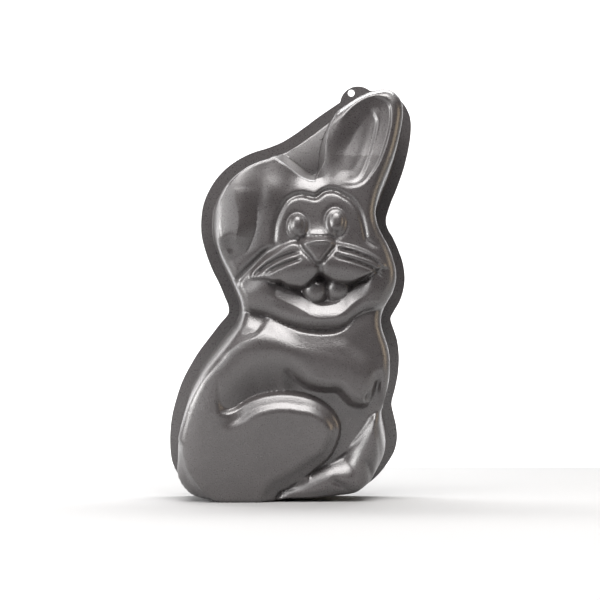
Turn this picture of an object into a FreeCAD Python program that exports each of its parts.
# Rabbit cake mould: one deep-drawn pressing of thin sheet steel, standing on its rim
# and on the lower front edge, relief side toward -Y. Millimetres.
import FreeCAD, Part
import Sketcher
import math
import os

doc = FreeCAD.newDocument("rabbit_cake_mould")
dims = doc.addObject("Spreadsheet::Sheet", "Dims")
CELLS = (
    ("grid", 0.765, "mm per drawing unit, at the flange"),
    ("deep", 0.880, "mm of depth per relief unit"),
    ("sheet_thk", 0.6, "steel with its coating"),
    ("hole_dia", 5.2, "hanging hole"),
    ("hole_x", 351.2, "hanging hole, drawing units"),
    ("hole_y", 93.3, "hanging hole, drawing units"),
    ("tab_rad", 13.8, "hanging tab"),
    ("tab_x", 358.0, "hanging tab, drawing units"),
    ("tab_y", 104.5, "hanging tab, drawing units"),
    ("mid_x", 290.524, "drawing column that stands over the origin"),
    ("foot_y", 495.5, "drawing row of the lower rim edge"),
    ("lean", 11.25, "degrees the rim plane leans forward"),
    ("base_y", 56.436, "rim foot, front to back"),
    ("base_z", 0.139, "rim foot height"),
    ("cols", 84, "skin points across"),
    ("rows", 142, "skin points up"),
    ("seam_y", 321.0, "row where the head zone meets the body zone, drawing units"),
)
dims.set("A1", "name")
dims.set("B1", "value")
for i, (alias, value, note) in enumerate(CELLS):
    dims.set("A%d" % (i + 2), alias)
    dims.set("B%d" % (i + 2), repr(value))
    dims.set("C%d" % (i + 2), note)
    dims.setAlias("B%d" % (i + 2), alias)
doc.recompute()


def cell(name):
    return float(dims.get(name))


# ------------------------------------------------------------------ drawing
# The drawing is laid on the rim plane: x to the right, y downward, in drawing units.
BASE_PTS = (
    (369.1, 102.5), (378, 101.5), (386.5, 103.9), (393.4, 109.5), (398.2, 117), (399.8, 125.7), (399.5, 134.6), (398.2, 143.4), (396.5, 152.2),
    (394.4, 160.9), (391.9, 169.4), (389, 177.8), (385.8, 186.2), (382.4, 194.4), (379.2, 202.8), (376.6, 211.3), (375.1, 220.1), (376.2, 228.9),
    (379.7, 237.1), (384, 244.9), (387.7, 253), (390.8, 261.4), (392.9, 270.1), (393.6, 278.9), (392.5, 287.8), (389.7, 296.2), (385.4, 304),
    (381.2, 311.9), (379.9, 320.6), (382, 329.3), (384.9, 337.7), (386.9, 346.4), (387.8, 355.3), (387.7, 364.2), (386.8, 373.1), (385.2, 381.8),
    (383.1, 390.5), (381.1, 399.2), (381, 408.1), (382.9, 416.8), (384.9, 425.5), (385.9, 434.4), (385, 443.2), (381.6, 451.4), (376.7, 458.9),
    (371.1, 465.8), (364.6, 471.9), (357.2, 476.8), (348.9, 480.2), (340.2, 482.2), (331.4, 483.3), (322.5, 483.9), (313.6, 484.2), (304.6, 484.3),
    (295.7, 484.4), (286.8, 484.4), (277.9, 484.4), (268.9, 484.4), (260, 484.4), (251.1, 484.4), (242.2, 484.4), (233.2, 484.3), (224.3, 484.2),
    (215.4, 483.7), (206.6, 482.1), (198.5, 478.6), (191.7, 472.8), (186.4, 465.7), (182.8, 457.5), (181.4, 448.7), (181.1, 439.8), (181.4, 430.9),
    (182.3, 422), (183.9, 413.3), (186.2, 404.6), (188.7, 396.1), (191.6, 387.6), (195.3, 379.5), (199.5, 371.6), (204, 363.9), (208.9, 356.5),
    (214.2, 349.3), (219.7, 342.2), (225.1, 335.1), (230.7, 328.2), (236.3, 321.3), (239.5, 313), (239.1, 304.1), (236.2, 295.7), (232.8, 287.5),
    (229.3, 279.3), (225.3, 271.3), (221.5, 263.2), (218.3, 254.9), (215.5, 246.4), (213.3, 237.8), (212.1, 228.9), (212.3, 220), (213.3, 211.2),
    (215.8, 202.6), (219.6, 194.5), (224.3, 187), (230.1, 180.2), (236.8, 174.3), (244.1, 169.2), (252, 165.1), (260.3, 161.8), (268.9, 159.2),
    (277.3, 156.2), (285.5, 152.7), (293.3, 148.4), (300.8, 143.6), (308.1, 138.5), (315.3, 133.2), (322.4, 127.8), (329.7, 122.6), (337, 117.6),
    (344.5, 112.7), (352.3, 108.4), (360.6, 105))
RIM_PTS = (
    (331.6, 108), (318, 117.4), (304.4, 127.6), (290.8, 137), (280, 143.2), (267, 148.3), (255.1, 151.9), (246, 155.7), (236.4, 161),
    (224.5, 170.1), (214.3, 182), (206.7, 195.6), (202.4, 209.2), (201, 226.2), (202.4, 239.8), (206.7, 255.1), (212.6, 270.4), (219.4, 284),
    (225, 297.5), (228.3, 306), (228, 314), (219.8, 324), (211, 335.5), (199, 351.4), (189.9, 366.3), (182.4, 381), (176.6, 398),
    (172.4, 414.4), (170.6, 428), (170.1, 441), (171, 455), (174, 466), (181.5, 478), (191, 487), (203, 492.6), (218, 495),
    (250, 495.4), (290, 495.4), (320, 495), (340, 493.4), (356, 489.5), (369, 482.5), (379, 473.5), (388.3, 461.6), (394.6, 450),
    (397, 438), (396.2, 426), (393.8, 415), (391.6, 403), (395.1, 388), (398, 372.9), (398.9, 356.3), (397, 340), (393, 327.5),
    (390.6, 318.5), (394, 311.1), (399.7, 301.2), (403.4, 289.6), (404.7, 277.5), (403, 263.8), (398.9, 251.4), (393, 238.1), (387.6, 228.5),
    (386, 220), (388.4, 210), (392, 200), (396.2, 190), (403, 171), (406.5, 157.9), (409, 145.8), (410.6, 134), (410.8, 123),
    (409, 114), (404.5, 105.5), (398, 98.5), (390, 93.2), (381, 90.6), (370, 91), (358, 94.2), (348, 98.2), (339.5, 102.8))
LINES = {      # name: (closed, steps per point, points)
    "TRI": (True, 5, (
    (283.9, 156.9), (280.5, 150.8), (290.2, 132.3), (309.8, 120.6), (327.3, 116.7), (329.2, 124.5), (324.4, 137.2), (321.4, 145), (319.1, 153.8),
    (317.7, 164.5), (316.8, 173.2), (314.1, 177.5), (309.3, 176.4), (301.9, 170.5), (295.1, 165.1), (288.8, 160.6))),
    "BROW": (False, 4, (
    (276.9, 254.6), (276.9, 249.2), (277.3, 242.6), (278.4, 233.2), (281.6, 224), (285.8, 215.5), (291.2, 209.7), (297.4, 207), (302, 206.4),
    (307.4, 207.6), (312, 208.8), (315.1, 208.3), (318.3, 205.6), (322.1, 203.1), (327.5, 202.2), (333.7, 203.5), (339.8, 207), (345.2, 210.5),
    (349.9, 216.3), (353.7, 223.2), (356, 231), (357.6, 238.6), (358.8, 245.6), (363, 249.9), (367.7, 252.1))),
    "CREASE": (False, 5, (
    (235.4, 304.5), (247.7, 308.5), (264.1, 313), (276.1, 317.9), (288.1, 323.3), (303, 328.3), (317.9, 330), (331.4, 329.1), (341.3, 324.7),
    (348.4, 317.5), (359.2, 310.3), (372.6, 307.2))),
    "ARMR": (True, 5, (
    (261.1, 338), (273.5, 338.5), (285.9, 341.6), (297.3, 345.5), (310.6, 347.8), (324.8, 350.4), (338, 353.9), (349.5, 358.8), (357, 365),
    (361.5, 372.5), (362.8, 380.5), (360.1, 388.4), (353.1, 394.2), (344.2, 392), (338, 386.2), (331.8, 380.5), (316.2, 379.6), (302.9, 375.2),
    (291.2, 368.1), (279.7, 361.9), (266.4, 358.4), (251.4, 358.4), (243.4, 349.5), (250.5, 341.6))),
    "CHEST": (True, 5, (
    (300, 330.1), (310.6, 335.4), (322.1, 336.3), (337.1, 338), (348.6, 346), (359.3, 353.1), (366.3, 363.7), (369, 374.3), (369.9, 384.9),
    (390.2, 386.7), (409.7, 361.9), (399.1, 326.5), (384.9, 303.5), (363.7, 303.5), (346, 314.1), (331, 323), (314.1, 324.8))),
    "BELLY": (True, 5, (
    (285.9, 363.7), (297.3, 370.8), (307.1, 376.9), (322.1, 380.5), (332.7, 380.9), (339.8, 387.6), (346, 392.9), (354.8, 394.6), (361, 391.1),
    (365.4, 381.4), (370.8, 370.8), (388.4, 370.8), (388.4, 388.4), (381.4, 397.3), (371.6, 400.8), (364.1, 409.7), (359, 416.5), (350.1, 426.7),
    (344.9, 434.2), (333.6, 448.6), (315.9, 455.6), (300, 450.3), (291.2, 423.8), (287.6, 388.4))),
    "FEETZ": (True, 5, (
    (292.8, 472.5), (300, 468), (319.9, 453.5), (332.5, 447.7), (345.9, 437.7), (353.3, 429.6), (361.4, 419.7), (369.1, 409.7), (375.9, 402.1),
    (390.3, 399.3), (408.4, 426.4), (390.3, 462.6), (372.2, 480.6), (336.1, 503.2), (291, 512.2), (272.9, 494.2))),
    "F1AX": (False, 6, (
    (280.1, 488.5), (290.9, 480.3), (302.7, 473.5), (315.4, 467.2), (328.1, 462.2), (341.7, 460))),
    "F2AX": (False, 6, (
    (349.5, 462), (353.1, 449.4), (358.5, 436.8), (363.9, 425.1), (370.2, 411.6))),
    "LIP": (False, 4, (
    (269.8, 281.4), (276.5, 283.6), (283.1, 284), (289.4, 287.4), (296.4, 288.7), (302.7, 288.7), (308, 284.9), (314.2, 279.1), (318.2, 277.2),
    (323.1, 280), (330.4, 283.7), (338.2, 285), (345.9, 284.5), (354.1, 281), (363.9, 276.2), (371, 271.6))),
    "CHEEK": (False, 4, (
    (278.7, 253), (269.8, 257.8), (261.8, 264.9), (254.7, 271.6), (247.6, 278.7), (239.7, 288.5))),
    "HAUNCH": (True, 5, (
    (167.8, 388.1), (211.9, 396.9), (231.3, 399.6), (241, 396.9), (251.5, 389.9), (265.6, 384.6), (283.3, 382), (300.9, 383.7), (315, 388.1),
    (327.3, 396.9), (334.4, 407.5), (336.1, 416.3), (332.6, 428.7), (325.6, 441), (315, 449.8), (304.4, 458.6), (290.3, 467.4), (279.7, 474.5),
    (273.6, 502.7), (211.9, 511.5), (167.8, 476.2))),
    "HIPR": (True, 5, (
    (165.5, 426.5), (187.9, 422.9), (196, 426.5), (196.9, 434.5), (200.4, 447.1), (205.8, 456.1), (211.2, 463.2), (216.6, 469.5), (222, 474),
    (230.9, 480.3), (232.7, 497.3), (214.8, 510.8), (165.5, 497.3))),
    "FOLD": (False, 4, (
    (274.4, 312.4), (271.7, 317.7), (268.6, 323.9), (265.5, 328.3), (262, 332.7), (257.6, 337.1))),
    "NOSE": (True, 4, (
    (301.8, 247.8), (307, 246.3), (315.8, 245.7), (324.6, 246.3), (329.9, 248.6), (327.2, 254.3), (322, 260.5), (315.8, 267.1), (309.7, 260.5),
    (303.5, 253.5))),
    "BRIDGE": (True, 3, (
    (306.2, 242.4), (311.4, 241.1), (318.5, 241.1), (323.8, 242.4), (329, 247.2), (326.4, 249.9), (305.3, 249.9), (302.2, 247.2))),
    "MUZZLE": (True, 3, (
    (315.9, 247.1), (308.8, 248), (300, 249.8), (292.1, 249.8), (284.1, 253.3), (278, 257.7), (268.3, 264.3), (257.7, 275.3), (255.9, 286.8),
    (271.8, 292.9), (300, 292.9), (317.6, 286.8), (339.7, 289.4), (359.9, 285.9), (374.9, 273.6), (373.1, 266.5), (362.6, 259.5), (350.2, 254.2),
    (339.7, 251.5), (330, 249.3), (322, 247.1))),
    "LOW": (False, 4, (
    (269.8, 280.9), (276, 283.6), (278.9, 285.6), (286.7, 288.9), (295.6, 292.7), (304.4, 297.3), (311.1, 301.7), (320, 303.8), (331.1, 302),
    (337.8, 298), (344.5, 291.6), (353.3, 285.8), (362.2, 281.8), (365.8, 277.8), (371.1, 273.3))),
    "G1": (False, 4, (
    (300, 257.4), (288.5, 260.8), (278, 265.3), (269.6, 270.5), (263, 275.3), (257.7, 279.7))),
    "G2": (False, 4, (
    (300.9, 263.6), (288.3, 267.9), (278, 272.2), (270, 276.6))),
    "G3": (False, 4, (
    (332.6, 254.4), (344, 256.8), (353.1, 259.8), (365.2, 264.8), (375.8, 273.1))),
    "G4": (False, 4, (
    (330.2, 260.8), (338.8, 263.3), (346.7, 265.6), (357, 269.2), (366.1, 273.1), (373.1, 278.9))),
    "EARV": (True, 4, (
    (265.9, 172.6), (264.1, 183.4), (261.9, 210.3), (261.4, 231.8), (257.8, 245.3), (252.5, 256.1), (244.4, 260.5), (232.7, 265.9), (192.4, 265.9),
    (192.4, 165.5), (246.2, 165.5))),
    "HOLA": (True, 4, (
    (373.2, 117.6), (380.8, 124.8), (381.6, 137.4), (379.5, 150.1), (375.4, 164.5), (370.4, 177.2), (363.7, 188), (356.9, 196.1), (347.4, 199.8),
    (334.3, 198.9), (325.3, 193.4), (321.7, 182.6), (323, 171.8), (327.1, 159.1), (333.4, 145.6), (341.5, 132.9), (350.6, 123), (361.4, 117.1))),
    "HOLB": (True, 4, (
    (365, 130.2), (369.1, 137.4), (368.2, 146.5), (364.6, 162.3), (359.2, 179), (353.7, 190.7), (346.1, 194.3), (336.1, 192.5), (330.7, 184.4),
    (329.8, 173.6), (333.9, 160.9), (340.6, 147.4), (348.8, 135.6), (357.8, 128.4))),
    "NECKR": (True, 5, (
    (210.4, 387.8), (216.6, 373.8), (224.5, 359.7), (233.3, 348.3), (240.3, 342.1), (249.1, 336.9), (260.5, 333.2), (266.6, 332.9), (278, 335.1),
    (293, 341.3), (307, 345.7), (322, 348.3), (336.9, 352.7), (348.3, 358), (357.1, 364.1), (362.3, 372), (364.5, 380.8), (365, 387.8),
    (362.3, 394), (357.1, 397.5), (354.4, 415.9), (387.8, 449.3), (458.1, 431.7), (466.8, 326.3), (449.3, 229.8), (343.9, 221), (229.8, 229.8),
    (150.7, 291.2), (141.9, 387.8))),
    "TOE1": (False, 4, (
    (326.3, 458.1), (334.4, 462.2), (340.8, 466.8), (345.3, 470.8), (348.5, 475.8))),
    "TOE2": (False, 4, (
    (358, 441.4), (361.6, 449.5), (364.3, 458.6))),
}


def curve(pts, closed, n):
    out = []
    m = len(pts)
    for i in range(m if closed else m - 1):
        if closed:
            p0, p1, p2, p3 = pts[i - 1], pts[i], pts[(i + 1) % m], pts[(i + 2) % m]
        else:
            p1, p2 = pts[i], pts[i + 1]
            p0 = pts[i - 1] if i > 0 else (2*p1[0] - p2[0], 2*p1[1] - p2[1])
            p3 = pts[i + 2] if i + 2 < m else (2*p2[0] - p1[0], 2*p2[1] - p1[1])
        for k in range(n):
            t = k / n
            out.append(tuple(0.5*((2*p1[j]) + (-p0[j] + p2[j])*t + (2*p0[j] - 5*p1[j] + 4*p2[j] - p3[j])*t*t
                                  + (-p0[j] + 3*p1[j] - 3*p2[j] + p3[j])*t**3) for j in (0, 1)))
    if not closed:
        out.append(tuple(pts[-1]))
    return out


REACH = 40.0


class Line:
    """A drawn curve as short straight pieces, with the box it is worth asking in."""

    def __init__(self, pts, closed, reach=REACH):
        self.closed = closed
        self.reach = reach
        n = len(pts)
        self.seg = []
        total = 0.0
        for i in range(n if closed else n - 1):
            a, b = pts[i], pts[(i + 1) % n]
            dx, dy = b[0] - a[0], b[1] - a[1]
            ln = math.hypot(dx, dy)
            self.seg.append((a[0], a[1], dx, dy, 1.0/(ln*ln + 1e-12), total, ln))
            total += ln
        self.total = total
        self.lo = (min(p[0] for p in pts) - reach, min(p[1] for p in pts) - reach)
        self.hi = (max(p[0] for p in pts) + reach, max(p[1] for p in pts) + reach)

    def ask(self, x, y):
        if not (self.lo[0] < x < self.hi[0] and self.lo[1] < y < self.hi[1]):
            return self.reach, 0.0, False
        best, run, inside = 1e18, 0.0, False
        for ax, ay, dx, dy, inv, start, ln in self.seg:
            px, py = x - ax, y - ay
            t = (px*dx + py*dy)*inv
            t = 0.0 if t < 0.0 else (1.0 if t > 1.0 else t)
            qx, qy = px - t*dx, py - t*dy
            d = qx*qx + qy*qy
            if d < best:
                best = d
                run = start + t*ln
            if self.closed and ((ay > y) != (ay + dy > y)) and px < py*dx/dy:
                inside = not inside
        return math.sqrt(best), run/self.total, inside


def sd(x, y, line):
    d, t, inside = line.ask(x, y)
    return d if inside else -d


def pd(x, y, line):
    d, t, inside = line.ask(x, y)
    return d, t


def sst(a, b, v):
    t = min(max((v - a)/(b - a), 0.0), 1.0)
    return t*t*(3 - 2*t)


def smax(a, b, k):
    g = max(k - abs(a - b), 0.0)/k
    return max(a, b) + g*g*k*0.25


def smin(a, b, k):
    return -smax(-a, -b, k)


def blob(x, y, cx, cy, rx, ry, rot=0.0, p=1.0):
    ca, sa = math.cos(rot), math.sin(rot)
    u = ((x - cx)*ca + (y - cy)*sa)/rx
    v = (-(x - cx)*sa + (y - cy)*ca)/ry
    q = u*u + v*v
    return math.exp(-(q**p)) if q < 40 else 0.0


def itp(v, xs, ys):
    if v <= xs[0]:
        return ys[0]
    for i in range(1, len(xs)):
        if v <= xs[i]:
            return ys[i - 1] + (ys[i] - ys[i - 1])*(v - xs[i - 1])/(xs[i] - xs[i - 1])
    return ys[-1]


def rnd(q):
    q = min(max(q, 0.0), 1.0)
    return math.sqrt(1 - (1 - q)**2)


def exp(v):
    return math.exp(v) if v > -60 else 0.0


def pw(v, p):
    return max(v, 0.0)**p


def sel(c, a, b):
    return a if c else b


mx, mn, sq = max, min, math.sqrt

for name, (closed, steps, pts) in LINES.items():
    globals()[name] = Line(curve(pts, closed, steps), closed)
BASE = Line(curve(BASE_PTS, True, 3), True, 60.0)
_c = curve(LINES["CREASE"][2], False, 5)
CREX, CREY = [p[0] for p in _c], [p[1] for p in _c]
_c = curve(LINES["LIP"][2], False, 4)
LIPX, LIPY = [p[0] for p in _c], [p[1] for p in _c]
_c = curve(LINES["LOW"][2], False, 4)
LOWX, LOWY = [p[0] for p in _c], [p[1] for p in _c]
_c = curve(LINES["FOLD"][2], False, 4)
FOLX, FOLY = [p[0] for p in _c], [p[1] for p in _c]
EYES = ((297.5, 235.3, 9.3, 11.8, 297.4, 232.8, 4.9, 7.6), (331.3, 231.3, 9.9, 12.9, 332.3, 230.6, 5.3, 8.0))
WHISK = ((G1, -2.6, 1.65), (G2, -2.6, 1.65), (G3, -2.6, 1.65), (G4, -2.6, 1.65))


def front(x, y):
    """Height of the pressing over the flange, walls left aside."""
    # head, with a little crown over the face, rolling under at the chin
    head = 67.8 + 8.2*exp(-1.1*(((x-312)/78)**2 + ((y-258)/66)**2)) + 1.5*blob(x, y, 246.5, 210.5, 34, 60, 0.2)
    yy = y - itp(x, CREX, CREY)
    drop = itp(x, (236, 252, 275, 300, 325, 345, 362, 385), (4.0, 6.0, 10.0, 14.5, 15.0, 12.5, 8.0, 5.0))
    wide = itp(x, (236, 252, 275, 300, 325, 345, 362, 385), (5.5, 7.5, 13.0, 19.0, 20.0, 16.0, 9.0, 5.0))
    head = head + face(x, y) + ears(x, y) - 1.8*sst(214, 188, y)*sst(282, 302, x)*sst(345, 325, x)
    head = head - drop*(1-rnd(mx(-yy, 0.0)/wide)) - 3.5*mx(yy, 0.0)
    # trunk: one plane for back, shoulder and arm, falling away to the neck above its ridge
    s = sd(x, y, NECKR)
    e = 0.5*(s + sq(s**2 + 40.0))
    b = sst(-5.0, 3.5, sd(x, y, BELLY))*sst(378, 366, x)*sst(276, 314, x) + sst(372, 408, y)*sst(366, 378, x)
    t = sst(262, 322, x)
    neck = ((5.8 - 3.0*t)*(1-exp(-e/(5.0 - 2.0*t))) + 0.16*e)*mx(sst(372, 350, y), sst(245, 265, x))
    trunk = 80.3 - smax(neck, 12.5*b, 3) - 4.0*blob(x, y, 359.7, 386.0, 2.2, 5.0, 0.2)*(1-b)
    trunk = trunk - itp(x, (240, 272, 300, 330, 380), (6.5, 6.0, 2.0, 0.6, 0.6))*(1-sst(-6, 16, yy)) - 3.0*mx(-yy, 0.0)
    trunk = trunk - 1.4*sst(-7, 6, sd(x, y, CHEST))*sst(300, 350, x)*(1-b)
    t = mx(-sd(x, y, BELLY), 0.0)
    trunk = trunk - 5.0*pw(1-mn(t/12.0, 1.0), 2.0)*sst(282, 310, x)*sst(378, 366, x)*sst(352, 366, y)*(1-b)
    trunk = trunk - 2.4*sst(-2, 6, itp(y, FOLY, FOLX) - x)*mn(mx(s, 0.0)/5.0, 1.0)*sst(350, 340, y)
    # haunch with its rolled upper edge, and the dip between haunch and arm
    a = sd(x, y, HAUNCH)
    k = sst(226, 252, x)
    trunk = trunk - 12.5*exp(-pw(mx(-a, 0.0)/20.0, 1.7))*exp(-pw(mx(265.0-x, 0.0)/33.0, 2.2) - pw(mx(x-265.0, 0.0)/37.0, 4.0))
    q = a*itp(x, (300, 334), (1.0, 1.4))
    hn = 80.3 - k*(3.0*sst(2.5, -1.0, q) + 6.2*pw(1-mn(mx(q, 0.0)/17.0, 1.0), 1.5) + 1.4*sst(14.0, 8.0, q)) + mn(a, 0.0)*(0.1 + 4.5*k)
    trunk = smax(trunk, hn, 3)
    trunk = trunk - 13.0*(1-exp(-pw(mx(sd(x, y, HIPR)+1.5, 0.0)/7.0, 1.5)))
    f = smax(head, trunk, 6)
    # feet
    c = sd(x, y, FEETZ)
    f = f - 20.0*sst(-6.0, 5.5, c)
    a, t = pd(x, y, F1AX)
    f1 = 76 - 13*pw(a/itp(t, (0, .5, 1), (15, 18.5, 20)), 2.0)
    a, t = pd(x, y, F2AX)
    f2 = 74 - 13*pw(a/itp(t, (0, .5, 1), (17, 18, 14)), 2.0)
    fz = smax(f1, f2, 2.5)
    d, t = pd(x, y, TOE1)
    fz = fz - 3.4*exp(-(d/2.3)**2)*itp(t, (0, .25, 1), (0, 1, 1))
    d, t = pd(x, y, TOE2)
    fz = fz - 3.0*exp(-(d/2.2)**2)*itp(t, (0, .3, 1), (0, 1, 1))
    f = smax(f, sel(c > -25, fz, -50.0), 4)
    f = f - sst(215, 170, y)*mx(0.0, (170-y)*0.05)
    # low three-cornered panel between the ears, the head easing down to it
    t = sd(x, y, TRI)
    f = f - 2.4*pw(1-mn(mx(-t-14.0, 0.0)/14.0, 1.0), 2.0)*sst(150, 172, y)*sst(330, 318, x)*sst(284, 300, x)
    return smin(f, 14.0 + 0.055*(y-150.0) + mx(0.0, -0.5-t)*(3.5 + 8.0*sst(313, 322, x)), 6)
def face(x, y):
    z = 0.0*x
    # groove round the brow
    d, t = pd(x, y, BROW)
    z = z - 2.7*exp(-(d/2.4)**2)*itp(t, (0, .06, .28, .4, .66, .8, .93, 1), (0, .45, .6, 1, 1, .8, .7, .2))
    for cx, cy, rx, ry, px, py, qx, qy in EYES:
        r = ((x-cx)/rx)**2 + ((y-cy)/ry)**2
        z = z + 2.3*pw(1-mn(r, 1.0)**2.4, 0.7) - 0.4*exp(-((sq(r)-1.1)/0.16)**2)
        q = ((x-px)/qx)**2 + ((y-py)/qy)**2
        z = z + 1.9*pw(1-mn(q/1.25, 1.0)**1.3, 1.1)
        z = z - 2.2*exp(-(((x-px)/2.8)**2 + ((y-cy-0.80*ry)/2.4)**2))
    n = sd(x, y, NOSE)
    z = z + 2.6*sst(-2.4, 2.4, n) + 3.0*blob(x, y, 317.6, 247.5, 12, 9) - 1.5*exp(-((n+2.2)/1.7)**2)*sst(240, 246, y)
    z = z + 1.1*sst(-3.0, 3.5, sd(x, y, BRIDGE))
    # muzzle with its two puffs, cut off along the upper lip
    my = y - itp(x, LIPX, LIPY)
    z = z + 2.6*sst(-2.0, 2.5, sd(x, y, MUZZLE))*sst(1.5, -2.0, my)
    pu = 4.2*blob(x, y, 296.4, 271.8, 27, 15, -0.15, 1.2) + 4.2*blob(x, y, 341.7, 270.1, 27, 14, 0.12, 1.2)
    z = z + pu*sst(2.0, -3.0, my)
    z = z - 3.2*exp(-((x-318.0)/3.4)**2)*sst(266, 273, y)*sst(286, 279, y)
    # whisker grooves
    for line, hh, w in WHISK:
        d, t = pd(x, y, line)
        z = z + hh*exp(-(d/w)**2)*itp(t, (0, .10, .8, 1), (.1, 1, 1, .1))
    # mouth: steep under the upper lip, two rounded teeth, a long slope up to the lower lip
    ml = y - itp(x, LOWX, LOWY)
    w = sst(270.5, 279, x)*sst(365.0, 354.0, x)
    cav = 8.5*sst(-1.5, 2.5, my)*(1 - 0.50*sst(-3.0, 1.5, ml) - 0.50*mn(mx((ml+1)/14.0, 0.0), 1.0))*w
    q1 = ((x-313.6)/10.2)**2 + ((y-291.6)/11.5)**2
    q2 = ((x-334.3)/10.8)**2 + ((y-289.8)/11.5)**2
    teeth = mx(-1.2 - 4.6*pw(q1, 1.4), -1.4 - 4.6*pw(q2, 1.4))
    inm = sel(ml < 1.0, teeth, -50.0)
    z = z + sel(my > 0.5, smax(-cav, inm - 6.0*sst(1.5, -1.5, my), 1.2), -cav)
    z = z + 6.8*blob(x, y, 325.0, 321.0, 50, 17, -0.08)
    # cheek border on the left, cheek ends
    d, t = pd(x, y, CHEEK)
    z = z - 3.4*exp(-(d/3.2)**2)*itp(t, (0, .2, 1), (.3, 1, .8))
    return z + 2.2*blob(x, y, 362.3, 290.9, 12, 13, 0.0) + 1.6*blob(x, y, 266.3, 293.8, 18, 12, 0.3)
def ears(x, y):
    # hanging ear: a dome with a long slope down to a crease on its right, open and shallow at the top
    s = sd(x, y, EARV)
    amp = itp(y, (150, 165, 190, 222, 245, 262, 275), (1.0, 3.6, 5.2, 7.5, 8.8, 6.0, 2.0))
    wl = itp(y, (165, 200, 220, 240, 250), (22.0, 22.0, 16.0, 13.5, 12.0))
    k = sst(202, 226, y)
    z = amp*((1-k)*sst(-6.0, wl, s) + k*(1-pw(1-mn(mx(s, 0.0)/wl, 1.0), 1.1)))
    z = z - 1.0*k*exp(-mx(-s, 0.0)/5.0)*sst(262, 250, y) + 2.2*blob(x, y, 275.1, 203.0, 11, 14, 0.0)
    z = z - 3.4*blob(x, y, 237.6, 251.4, 7.5, 6, -0.7) - 2.4*blob(x, y, 258.6, 277.4, 18, 8, -0.75)
    # hollow of the upright ear: two small steps on the right, one long slope from the left, open below
    h1, h2 = sd(x, y, HOLA), sd(x, y, HOLB)
    u = (x-356.8)*0.290 - (y-157.3)*0.957
    v = (x-356.8)*0.957 + (y-157.3)*0.290 + 0.0035*u*u - 1.5
    w = sst(-5.0, 7.0, v)
    t = sst(2.0, 28.0, u)
    lf = 2.6*t*sst(-1.5, 4.5, h1) + (7.2-2.6*t)*sst(-2.0, 17.0, h1)
    rt = 2.0*sst(-1.4, 1.8, h1) + 2.4*mn(mx(h1, 0.0)/9.0, 1.0) + 2.2*sst(-2.0, 2.0, h2) + 1.8*sst(1.0, 12.0, h2)
    return z - 0.85*((1-w)*lf + w*rt)*(1 - 0.85*sst(-32.0, 38.0, (y-160.0)*0.80 - (x-330.0)*0.60))
def height(x, y):
    """Height over the flange with the drawn walls; also the distance inside the wall base."""
    edge = sd(x, y, BASE)
    ti = mx(edge, 0.0)
    s = 8.7 + 8.0*sst(440, 476, y) + 3.0*sst(150, 105, y) + 3.0*sst(350, 375, x)*sst(440, 400, y)
    s = s - 1.5*exp(-((x-235)**2 + (y-335)**2)/1600.0)
    er = sst(262, 222, y)*sst(292, 272, x)
    s = s - 3.6*er
    wall = s*(sq(ti**2 + 2.25) - 1.5)
    low = sst(440, 476, y)
    fr = front(x, y)
    amp = (17.0 - 6.8*low - 8.0*er)*sst(20, 60, fr)
    roll = fr - amp*(1-rnd((ti - 4.2 - 5.0*er)/(12.0 - 5.6*low - 3.0*er))) - (2.2*pw(1-mn(ti/30.0, 1.0), 2.0) + 7.5*sst(265, 215, x)*sst(325, 400, y)*sst(464, 428, y)*pw(1-mn(ti/44.0, 1.0), 2.0) + 5.4*sst(290, 225, y)*sst(274, 242, x)*pw(1-mn(ti/44.0, 1.0), 2.0))*(1-low)
    return smin(wall, roll, 6)



# ------------------------------------------------------------------ placing
G, D, THK = cell("grid"), cell("deep"), cell("sheet_thk")
MIDX, FOOTY = cell("mid_x"), cell("foot_y")


def plane(x, y):
    """Drawing point to millimetres on the rim plane: right, up."""
    return G*(x - MIDX), G*(FOOTY - y)


def turned(obj):
    obj.Placement = FreeCAD.Placement(FreeCAD.Vector(0, cell("base_y"), cell("base_z")),
                                      FreeCAD.Rotation(FreeCAD.Vector(1, 0, 0), 90 + cell("lean")))


def closed_curve(pts):
    c = Part.BSplineCurve()
    c.interpolate(Points=[FreeCAD.Vector(*plane(*p), 0) for p in pts], PeriodicFlag=True)
    return c


base_curve = closed_curve(curve(BASE_PTS, True, 2))
rim_curve = closed_curve(RIM_PTS)
# ------------------------------------------------------------------ shell: the drawn relief as two skins
NC, NR = int(cell("cols")), int(cell("rows"))
NEAR = [0.0, 0.45, 0.95, 1.5, 2.1, 2.8, 3.6, 4.5, 5.5, 6.7, 8.1, 9.8, 11.8]


def spread(count, length):
    """Places along a line: close together near both ends, even between."""
    k = min(1.0, length/(2.9*NEAR[-1]))
    near = [v*k for v in NEAR]
    m = count - 2*len(near)
    a, b = near[-1], length - near[-1]
    mid = [a + (b - a)*(i + 1)/(m + 1) for i in range(m)]
    return [v/length for v in near + mid + [length - v for v in reversed(near)]]


first, last = base_curve.FirstParameter, base_curve.LastParameter
ring = [base_curve.value(first + (last - first)*i/4000.0) for i in range(4000)]


def nearest(x, y):
    px, py = plane(x, y)
    return min(range(4000), key=lambda i: (ring[i].x - px)**2 + (ring[i].y - py)**2)


# four quiet corners on the outline: foot left, foot right, ear tip left, ear tip right
corner = [nearest(*p) for p in ((190.0, 474.0), (376.0, 474.0), (396.5, 111.0), (362.0, 104.5))]
if (corner[1] - corner[0]) % 4000 > 2000:
    ring.reverse()
    corner = [3999 - c for c in corner]


def side(a, b):
    """Outline from corner a to corner b, with its running length."""
    pts = [ring[(a + i) % 4000] for i in range((b - a) % 4000 + 1)]
    run = [0.0]
    for p, q in zip(pts, pts[1:]):
        run.append(run[-1] + p.distanceToPoint(q))
    return pts, run


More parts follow.
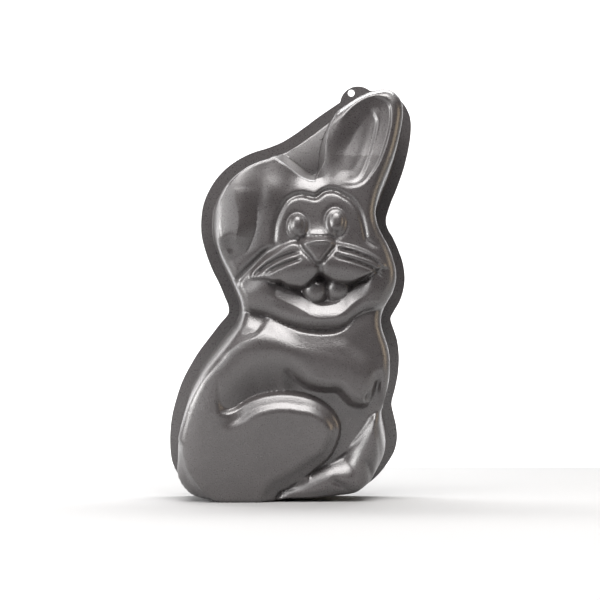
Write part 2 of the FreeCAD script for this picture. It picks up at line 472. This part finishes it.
def along(s, share):
    pts, run = s
    v = share*run[-1]
    lo, hi = 0, len(run) - 1
    while hi - lo > 1:
        mid = (lo + hi)//2
        if run[mid] <= v:
            lo = mid
        else:
            hi = mid
    k = (v - run[lo])/max(run[hi] - run[lo], 1e-9)
    return pts[lo].x + (pts[hi].x - pts[lo].x)*k, pts[lo].y + (pts[hi].y - pts[lo].y)*k


bottom = side(corner[0], corner[1])
right = side(corner[1], corner[2])
top = side(corner[2], corner[3])
left = side(corner[3], corner[0])
vs = spread(NR, 0.5*(right[1][-1] + left[1][-1]))
C00, C10, C11, C01 = along(bottom, 0), along(bottom, 1), along(top, 0), along(top, 1)
# matching heights on the two long sides
flat = []
for j, v in enumerate(vs):
    lp, rp = along(left, 1 - v), along(right, v)
    us = spread(NC, math.hypot(rp[0] - lp[0], rp[1] - lp[1]))
    row = []
    for u in us:
        bp, tp = along(bottom, u), along(top, 1 - u)
        p = []
        for a in (0, 1):
            p.append((1 - v)*bp[a] + v*tp[a] + (1 - u)*lp[a] + u*rp[a]
                     - ((1 - u)*(1 - v)*C00[a] + u*(1 - v)*C10[a] + u*v*C11[a] + (1 - u)*v*C01[a]))
        row.append(p)
    flat.append(row)


def skin_point(p):
    x, y = p[0]/G + MIDX, FOOTY - p[1]/G
    return [p[0], p[1], THK + D*max(height(x, y), 0.0)]


outer = [[skin_point(p) for p in row] for row in flat]
for j in range(NR):
    for i in range(NC):
        if i in (0, NC - 1) or j in (0, NR - 1):
            outer[j][i][2] = THK


def normal(j, i):
    if i in (0, NC - 1) or j in (0, NR - 1):
        return (0.0, 0.0, 1.0)
    a, b = outer[j][i + 1], outer[j][i - 1]
    c, d = outer[j + 1][i], outer[j - 1][i]
    u = [a[k] - b[k] for k in range(3)]
    v = [c[k] - d[k] for k in range(3)]
    n = (u[1]*v[2] - u[2]*v[1], u[2]*v[0] - u[0]*v[2], u[0]*v[1] - u[1]*v[0])
    ln = math.sqrt(sum(k*k for k in n))
    if ln < 1e-9:
        return (0.0, 0.0, 1.0)
    s = 1.0 if n[2] > 0 else -1.0
    return tuple(s*k/ln for k in n)


inner = []
for j in range(NR):
    row = []
    for i in range(NC):
        n = normal(j, i)
        p = outer[j][i]
        row.append([p[0] - THK*n[0], p[1] - THK*n[1], max(p[2] - THK*n[2], 0.0)])
    inner.append(row)


def sharpened(rows):
    """Poles whose smooth surface runs through the sampled points, to second order."""
    out = [[list(p) for p in row] for row in rows]
    for j in range(NR):
        for i in range(NC):
            for k in range(3):
                c = rows[j][i][k]
                d = 0.0
                if 1 < i < NC - 2:
                    d += rows[j][i - 1][k] + rows[j][i + 1][k] - 2*c
                if 1 < j < NR - 2:
                    d += rows[j - 1][i][k] + rows[j + 1][i][k] - 2*c
                lim = 0.35
                out[j][i][k] = c - max(-lim, min(lim, d/6.0))
    for j in range(NR):
        for i in range(NC):
            if i in (0, NC - 1) or j in (0, NR - 1):
                out[j][i][2] = rows[j][i][2]
            out[j][i][2] = max(out[j][i][2], 0.0)
    return out


def knots(n):
    k = list(range(n - 2))
    return [float(v) for v in k], [4] + [1]*(n - 4) + [4]


def skin(rows):
    s = Part.BSplineSurface()
    uk, um = knots(NR)
    vk, vm = knots(NC)
    s.buildFromPolesMultsKnots([[FreeCAD.Vector(*p) for p in row] for row in rows], um, vm, uk, vk, False, False, 3, 3)
    return s


po, pi = sharpened(outer), sharpened(inner)
for j in range(NR):
    for i in range(NC):
        if i in (0, NC - 1) or j in (0, NR - 1):
            pi[j][i][0], pi[j][i][1], pi[j][i][2] = po[j][i][0], po[j][i][1], 0.0
so, si = skin(po), skin(pi)


def edge_curve(poles):
    c = Part.BSplineCurve()
    k, m = knots(len(poles))
    c.buildFromPolesMultsKnots([FreeCAD.Vector(*p) for p in poles], m, k, False, 3)
    return c


def borders(rows, z):
    pts = [[(p[0], p[1], z) for p in line] for line in (
        rows[0], [r[-1] for r in rows], rows[-1][::-1], [r[0] for r in rows][::-1])]
    return [edge_curve(p) for p in pts]


border = borders(pi, 0.0)
UMAX, VMAX = float(NR - 3), float(NC - 3)
mid_column = [outer[j][NC//2][1] for j in range(NR)]
SEAM = float(min(range(NR), key=lambda j: abs(mid_column[j] - plane(0, cell("seam_y"))[1])) - 1)


def zone(name, u0, u1):
    """The stretch of the drawn sheet between two rows, as one solid."""
    o, i = so.copy(), si.copy()
    o.segment(u0, u1, 0.0, VMAX)
    i.segment(u0, u1, 0.0, VMAX)
    faces = [o.toShape(), i.toShape()]
    for a, b in ((o.uIso(u0), i.uIso(u0)), (o.uIso(u1), i.uIso(u1)), (o.vIso(0.0), i.vIso(0.0)), (o.vIso(VMAX), i.vIso(VMAX))):
        faces.append(Part.makeRuledSurface(a.toShape(), b.toShape(), 1))
    sewn = Part.makeShell(faces)
    sewn.sewShape(1e-4)
    solid = Part.Solid(sewn)
    if solid.Volume < 0:
        solid.reverse()
    obj = doc.addObject("Part::Feature", name)
    obj.Label = name
    obj.Shape = solid
    turned(obj)
    return obj


body = zone("body_shell", 0.0, SEAM)
head = zone("head_shell", SEAM, UMAX)

# ------------------------------------------------------------------ rim: flat flange with the hanging tab
rim = doc.addObject("PartDesign::Body", "rim_flange")
rim.Label = "rim_flange"
xy = [f for f in rim.Origin.OriginFeatures if f.Role == "XY_Plane"][0]


def sketch(name):
    s = rim.newObject("Sketcher::SketchObject", name)
    s.AttachmentSupport = [(xy, "")]
    s.MapMode = "FlatFace"
    return s


s1 = sketch("flange_outline")
s1.addGeometry(rim_curve, False)
pad1 = rim.newObject("PartDesign::Pad", "flange")
pad1.Profile = s1
pad1.setExpression("Length", "Dims.sheet_thk")
doc.recompute()

s2 = sketch("tab_outline")
s2.addGeometry(Part.Circle(FreeCAD.Vector(*plane(cell("tab_x"), cell("tab_y")), 0), FreeCAD.Vector(0, 0, 1), cell("tab_rad")), False)
s2.addConstraint(Sketcher.Constraint("Radius", 0, cell("tab_rad")))
s2.setExpression("Constraints[0]", "Dims.tab_rad")
s2.addConstraint(Sketcher.Constraint("DistanceX", -1, 1, 0, 3, plane(cell("tab_x"), 0)[0]))
s2.setExpression("Constraints[1]", "(Dims.tab_x - Dims.mid_x) * Dims.grid")
s2.addConstraint(Sketcher.Constraint("DistanceY", -1, 1, 0, 3, plane(0, cell("tab_y"))[1]))
s2.setExpression("Constraints[2]", "(Dims.foot_y - Dims.tab_y) * Dims.grid")
pad2 = rim.newObject("PartDesign::Pad", "tab")
pad2.Profile = s2
pad2.setExpression("Length", "Dims.sheet_thk")
doc.recompute()

s3 = sketch("base_outline")
for n, c in enumerate(border):
    s3.addGeometry(c, False)
for n in range(4):
    s3.addConstraint(Sketcher.Constraint("Coincident", n, 2, (n + 1) % 4, 1))
cut1 = rim.newObject("PartDesign::Pocket", "shell_opening")
cut1.Profile = s3
cut1.Type = 1
cut1.Midplane = True
doc.recompute()

s4 = sketch("hole_centre")
s4.addGeometry(Part.Circle(FreeCAD.Vector(*plane(cell("hole_x"), cell("hole_y")), 0), FreeCAD.Vector(0, 0, 1), cell("hole_dia")/2), False)
s4.addConstraint(Sketcher.Constraint("Diameter", 0, cell("hole_dia")))
s4.setExpression("Constraints[0]", "Dims.hole_dia")
s4.addConstraint(Sketcher.Constraint("DistanceX", -1, 1, 0, 3, plane(cell("hole_x"), 0)[0]))
s4.setExpression("Constraints[1]", "(Dims.hole_x - Dims.mid_x) * Dims.grid")
s4.addConstraint(Sketcher.Constraint("DistanceY", -1, 1, 0, 3, plane(0, cell("hole_y"))[1]))
s4.setExpression("Constraints[2]", "(Dims.foot_y - Dims.hole_y) * Dims.grid")
cut2 = rim.newObject("PartDesign::Pocket", "hanging_hole")
cut2.Profile = s4
cut2.Type = 1
cut2.Midplane = True
doc.recompute()
turned(rim)


doc.recompute()
os.makedirs("parts", exist_ok=True)
for obj in (rim, body, head):
    for o in [obj] + list(getattr(obj, "Group", [])):
        if "Invalid" in o.State or "Error" in o.State:
            raise RuntimeError("%s did not recompute: %s" % (o.Label, o.State))
    if obj.Shape.isNull() or not obj.Shape.isValid() or len(obj.Shape.Solids) != 1:
        raise RuntimeError("%s is not one valid solid" % obj.Label)
    bb = obj.Shape.BoundBox
    print("%-12s volume %.0f mm3  x %.3f..%.3f  y %.3f..%.3f  z %.3f..%.3f" % (
        obj.Label, obj.Shape.Volume, bb.XMin, bb.XMax, bb.YMin, bb.YMax, bb.ZMin, bb.ZMax))
    obj.Shape.exportStep("parts/%s.step" % obj.Label)
